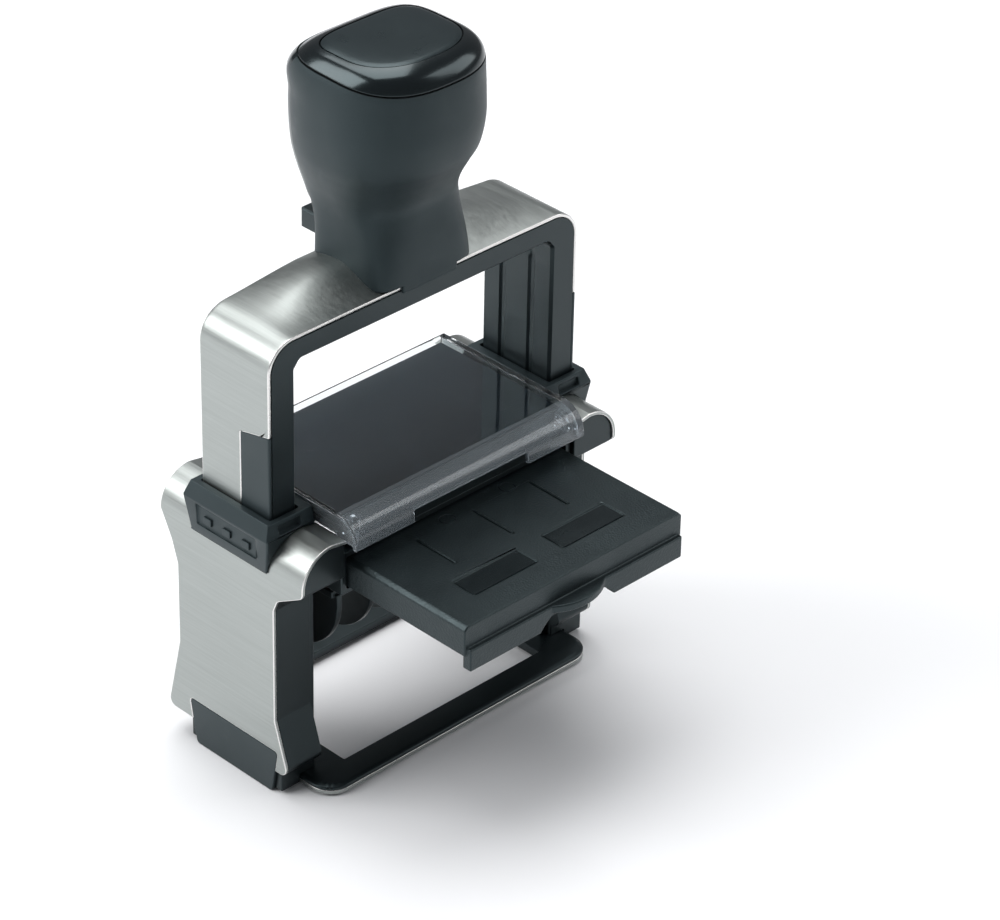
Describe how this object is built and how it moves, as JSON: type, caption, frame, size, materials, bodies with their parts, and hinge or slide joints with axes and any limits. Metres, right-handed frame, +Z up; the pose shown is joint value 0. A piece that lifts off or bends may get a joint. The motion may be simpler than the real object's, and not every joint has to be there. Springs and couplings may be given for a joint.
{
  "type": "self inking stamp",
  "caption": "Heavy-duty self-inking stamp: a steel-clad press bridge with a knob flips a die carriage between a pull-out ink cartridge and the paper.",
  "frame": {"origin": "centre of the printing window, on the paper", "axes": "+Z up, +Y to the back, the cartridge comes out towards -Y, +X to the right seen from the front"},
  "size_m": [0.1032, 0.09, 0.1735],
  "materials": {
    "black_plastic": "satin",
    "dark_plastic": "satin",
    "brushed_steel": "brushed",
    "rubber_foot": "matte",
    "soft_grip": "matte soft touch",
    "gloss_black": "gloss",
    "clear_cover": "clear",
    "card": "satin",
    "cartridge_plastic": "fine texture",
    "ink_felt": "inked felt",
    "die_rubber": "matte",
    "foam": "foam",
    "zinc_steel": "satin"
  },
  "bodies": {
    "body": {"base_ring": "black_plastic", "ring_trim": "brushed_steel", "foot_pads": "rubber_foot", "side_frame_left": "black_plastic", "side_frame_right": "black_plastic", "side_plate_left": "brushed_steel", "side_plate_right": "brushed_steel", "side_foot_left": "dark_plastic", "side_foot_right": "dark_plastic", "collar_left": "dark_plastic", "collar_right": "dark_plastic", "cam_plate_left": "dark_plastic", "cam_plate_right": "dark_plastic", "pad_housing": "black_plastic", "index_tray": "black_plastic", "index_card": "card", "spring_left": "zinc_steel", "spring_right": "zinc_steel", "spring_rod_left": "zinc_steel", "spring_rod_right": "zinc_steel", "frame_screws": "zinc_steel"},
    "window": {"index_window": "clear_cover"},
    "cartridge": {"cartridge_case": "cartridge_plastic", "ink_pad": "ink_felt"},
    "bridge": {"bridge_frame": "black_plastic", "bridge_plate": "brushed_steel", "leg_insert_left": "dark_plastic", "leg_insert_right": "dark_plastic", "handle_core": "dark_plastic", "handle_screw": "zinc_steel", "handle_grip": "soft_grip", "handle_spine": "gloss_black", "cap_bezel": "gloss_black", "cap_insert": "dark_plastic"},
    "carriage": {"die_carriage": "black_plastic", "text_plate": "dark_plastic", "foam_layer": "foam", "rubber_die": "die_rubber", "pivot_pin_left": "zinc_steel", "pivot_pin_right": "zinc_steel", "crank_left": "dark_plastic", "crank_right": "dark_plastic"},
    "lock": {"lock_button": "dark_plastic"}
  },
  "joints": [
    {"name": "bridge_press", "type": "slide", "parent": "body", "child": "bridge", "axis": [0, 0, -1], "range_m": [0, 0.036], "stiffness_N_per_m": 600, "springref_m": -0.02, "deforming": ["spring_left", "spring_right"]},
    {"name": "carriage_flip", "type": "hinge", "parent": "bridge", "child": "carriage", "pos_m": [0, 0, 0.04525], "axis": [1, 0, 0], "range_deg": [0, 180]},
    {"name": "cartridge_slide", "type": "slide", "parent": "body", "child": "cartridge", "axis": [0, -1, 0], "range_m": [-0.0333, 0.012]},
    {"name": "window_slide", "type": "slide", "parent": "body", "child": "window", "axis": [0, -1, 0], "range_m": [0, 0.012]},
    {"name": "lock_push", "type": "slide", "parent": "bridge", "child": "lock", "axis": [0, -1, 0], "range_m": [0, 0.002], "stiffness_N_per_m": 300, "springref_m": -0.0005}
  ],
  "couplings": [
    {"joint": "carriage_flip", "follows": "bridge_press", "rad_per_m": 87.266}
  ]
}
